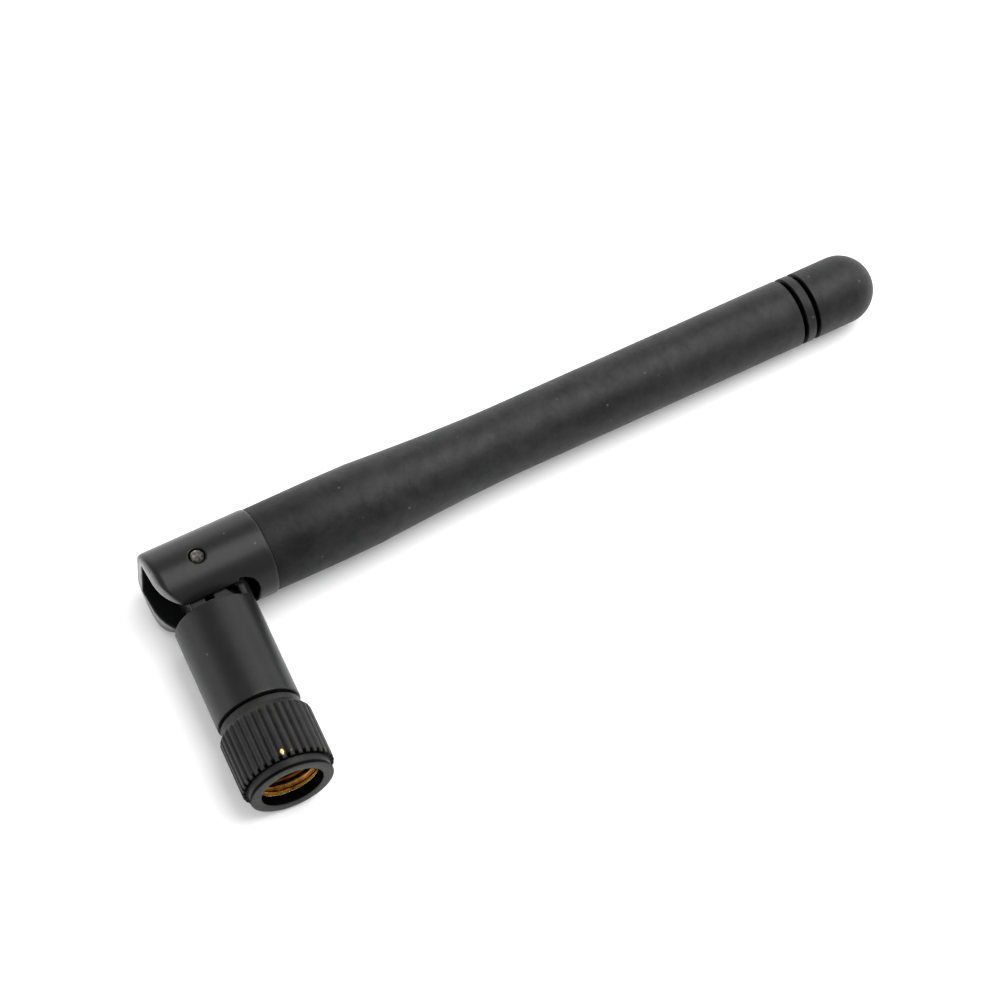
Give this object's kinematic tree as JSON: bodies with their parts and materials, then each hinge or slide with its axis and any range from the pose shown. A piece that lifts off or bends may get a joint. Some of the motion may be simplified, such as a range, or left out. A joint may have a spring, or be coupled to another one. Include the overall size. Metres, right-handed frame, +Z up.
{
  "type": "omnidirectional antenna",
  "caption": "Folding rubber-sleeved rod antenna with a tilting hinge, a swivelling barrel and a knurled coupling nut for a reverse-polarity SMA jack.",
  "frame": {"origin": "on the table under the middle of the folded antenna's bounding box", "axes": "+X towards the whip's tip, -Y out of the connector's mouth, +Z up along the hinge pins"},
  "size_m": [0.0884, 0.0376, 0.0099],
  "materials": {
    "rubber": "soft matt black, finely mottled",
    "plastic": "satin black moulded plastic",
    "black_plate": "black plated brass, semi-gloss, worn at the edges",
    "gold": "gold plated brass, polished",
    "brass": "turned brass",
    "steel": "bare steel",
    "ptfe": "white PTFE",
    "jacket": "brown FEP cable jacket",
    "tinned": "tinned copper braid, soldered",
    "copper": "bare copper",
    "foam": "white expanded polyethylene",
    "shrink": "black heat-shrink tube"
  },
  "bodies": {
    "connector": {"connector_body": "gold", "contact_insulator": "ptfe", "centre_contact": "gold", "coax_core_lower": "ptfe", "crimp_ferrule": "brass", "coax_lower": "jacket", "snap_ring": "steel"},
    "nut": {"coupling_nut": "black_plate"},
    "barrel": {"swivel_barrel": "plastic", "swivel_bush": "brass", "friction_washer": "steel", "hinge_pin_upper": "steel", "hinge_pin_lower": "steel"},
    "whip": {"hinge_knuckle": "plastic", "rubber_sleeve": "rubber", "coax_bend": "jacket", "coax_upper": "jacket", "foot_spacer": "foam", "dipole_sleeve": "brass", "sleeve_spacer": "ptfe", "coax_braid_end": "tinned", "coax_dielectric": "ptfe", "upper_radiator": "copper", "heat_shrink": "shrink", "tip_spacer": "foam"}
  },
  "joints": [
    {"name": "nut_turn", "type": "hinge", "parent": "connector", "child": "nut", "pos_m": [-0.03873, -0.01439, 0.00496], "axis": [0, 1, 0], "continuous": true},
    {"name": "barrel_swivel", "type": "hinge", "parent": "connector", "child": "barrel", "pos_m": [-0.03873, -0.00764, 0.00496], "axis": [0, 1, 0], "range_deg": [-180, 180]},
    {"name": "whip_tilt", "type": "hinge", "parent": "barrel", "child": "whip", "pos_m": [-0.03873, 0.00711, 0.00496], "axis": [0, 0, 1], "range_deg": [-5.7, 84.3], "deforming": ["coax_bend"]}
  ]
}
